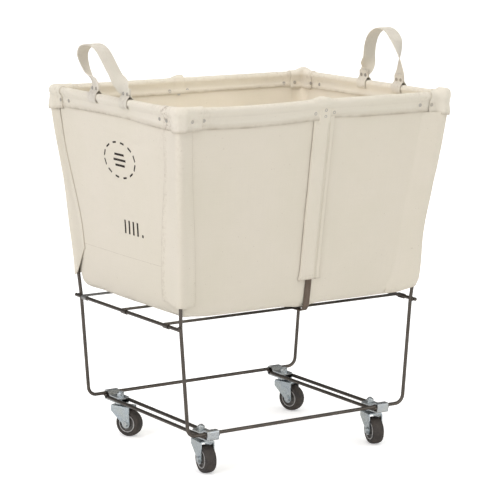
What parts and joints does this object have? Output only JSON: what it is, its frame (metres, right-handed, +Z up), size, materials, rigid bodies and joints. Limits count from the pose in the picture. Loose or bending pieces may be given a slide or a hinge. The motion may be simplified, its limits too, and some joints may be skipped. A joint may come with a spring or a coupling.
{
  "type": "linen trolley",
  "caption": "Open canvas basket on a bent steel rod frame with a slatted platform, webbing handles and clip-on swivel casters, for moving linen.",
  "frame": {"origin": "on the floor under the middle of the basket, the bottom centre of the bounding box", "axes": "+Z up; X along the basket's length, with a handle at each X end; Y across its width"},
  "size_m": [0.626, 0.4896, 0.8044],
  "materials": {
    "rod_steel": "dull dark steel with worn zinc",
    "slat_steel": "dull dark steel strip",
    "slat_zinc": "lighter zinc strip",
    "canvas": "heavy undyed cotton duck, plain weave",
    "sleeve_canvas": "undyed cotton duck, stitched",
    "binding_canvas": "folded cotton duck binding, stitched",
    "rivet_metal": "nickel-plated tubular rivet, dulled",
    "webbing": "woven cotton webbing",
    "zinc_fastener": "bright zinc",
    "zinc_clamp": "zinc plated pressing",
    "fork_steel": "zinc plated pressing, scuffed",
    "wheel_plastic": "moulded wheel centre",
    "tyre_rubber": "dark grey-brown rubber, dusty"
  },
  "bodies": {
    "frame": {"rim_rod": "rod_steel", "side_frame_near": "rod_steel", "side_frame_far": "rod_steel", "base_loop_left": "rod_steel", "base_loop_right": "rod_steel", "platform_end_rod_left": "rod_steel", "platform_end_rod_right": "rod_steel", "platform_slat_near": "slat_steel", "platform_slat_mid": "slat_steel", "centre_band": "slat_steel", "platform_slat_far": "slat_zinc", "canvas_floor": "canvas", "canvas_end_left": "canvas", "canvas_end_right": "canvas", "canvas_side_near": "canvas", "canvas_side_far": "canvas", "corner_sleeves": "sleeve_canvas", "centre_sleeves": "sleeve_canvas", "binding_near": "binding_canvas", "binding_far": "binding_canvas", "binding_left": "binding_canvas", "binding_right": "binding_canvas", "corner_patches": "binding_canvas", "rim_rivets": "rivet_metal", "king_bolts": "zinc_fastener", "king_nuts": "zinc_fastener", "lock_washers": "zinc_fastener", "race_balls": "zinc_fastener", "caster_clip_left_far": "zinc_clamp", "caster_clip_left_near": "zinc_clamp", "caster_clip_right_far": "zinc_clamp", "caster_clip_right_near": "zinc_clamp"},
    "handle_loop_left": {"handle_left": "webbing", "handle_rivets_left": "rivet_metal"},
    "handle_loop_right": {"handle_right": "webbing", "handle_rivets_right": "rivet_metal"},
    "swivel_left_far": {"fork_left_far": "fork_steel", "axle_bolt_left_far": "zinc_fastener", "axle_nut_left_far": "zinc_fastener", "axle_sleeve_left_far": "zinc_fastener"},
    "wheel_left_far": {"wheel_core_left_far": "wheel_plastic", "tyre_left_far": "tyre_rubber"},
    "swivel_left_near": {"fork_left_near": "fork_steel", "axle_bolt_left_near": "zinc_fastener", "axle_nut_left_near": "zinc_fastener", "axle_sleeve_left_near": "zinc_fastener"},
    "wheel_left_near": {"wheel_core_left_near": "wheel_plastic", "tyre_left_near": "tyre_rubber"},
    "swivel_right_far": {"fork_right_far": "fork_steel", "axle_bolt_right_far": "zinc_fastener", "axle_nut_right_far": "zinc_fastener", "axle_sleeve_right_far": "zinc_fastener"},
    "wheel_right_far": {"wheel_core_right_far": "wheel_plastic", "tyre_right_far": "tyre_rubber"},
    "swivel_right_near": {"fork_right_near": "fork_steel", "axle_bolt_right_near": "zinc_fastener", "axle_nut_right_near": "zinc_fastener", "axle_sleeve_right_near": "zinc_fastener"},
    "wheel_right_near": {"wheel_core_right_near": "wheel_plastic", "tyre_right_near": "tyre_rubber"}
  },
  "joints": [
    {"name": "handle_swing_left", "type": "hinge", "parent": "frame", "child": "handle_loop_left", "pos_m": [-0.2985, 0.0085, 0.6955], "axis": [0, -1, 0], "range_deg": [-140, 140]},
    {"name": "handle_swing_right", "type": "hinge", "parent": "frame", "child": "handle_loop_right", "pos_m": [0.2985, -0.0395, 0.6955], "axis": [0, 1, 0], "range_deg": [-140, 140]},
    {"name": "swivel_turn_left_far", "type": "hinge", "parent": "frame", "child": "swivel_left_far", "pos_m": [-0.198, 0.153, 0.0624], "axis": [0, 0, 1], "continuous": true},
    {"name": "wheel_spin_left_far", "type": "hinge", "parent": "swivel_left_far", "child": "wheel_left_far", "pos_m": [-0.1886, 0.13422, 0.027], "axis": [0.8942, 0.4478, 0], "continuous": true},
    {"name": "swivel_turn_left_near", "type": "hinge", "parent": "frame", "child": "swivel_left_near", "pos_m": [-0.198, -0.153, 0.0624], "axis": [0, 0, 1], "continuous": true},
    {"name": "wheel_spin_left_near", "type": "hinge", "parent": "swivel_left_near", "child": "wheel_left_near", "pos_m": [-0.2002, -0.17389, 0.027], "axis": [0.9945, -0.1045, 0], "continuous": true},
    {"name": "swivel_turn_right_far", "type": "hinge", "parent": "frame", "child": "swivel_right_far", "pos_m": [0.198, 0.153, 0.0624], "axis": [0, 0, 1], "continuous": true},
    {"name": "wheel_spin_right_far", "type": "hinge", "parent": "swivel_right_far", "child": "wheel_right_far", "pos_m": [0.20452, 0.13304, 0.027], "axis": [0.9505, 0.3107, 0], "continuous": true},
    {"name": "swivel_turn_right_near", "type": "hinge", "parent": "frame", "child": "swivel_right_near", "pos_m": [0.198, -0.153, 0.0624], "axis": [0, 0, 1], "continuous": true},
    {"name": "wheel_spin_right_near", "type": "hinge", "parent": "swivel_right_near", "child": "wheel_right_near", "pos_m": [0.19378, -0.17357, 0.027], "axis": [0.9796, -0.2011, 0], "continuous": true}
  ]
}
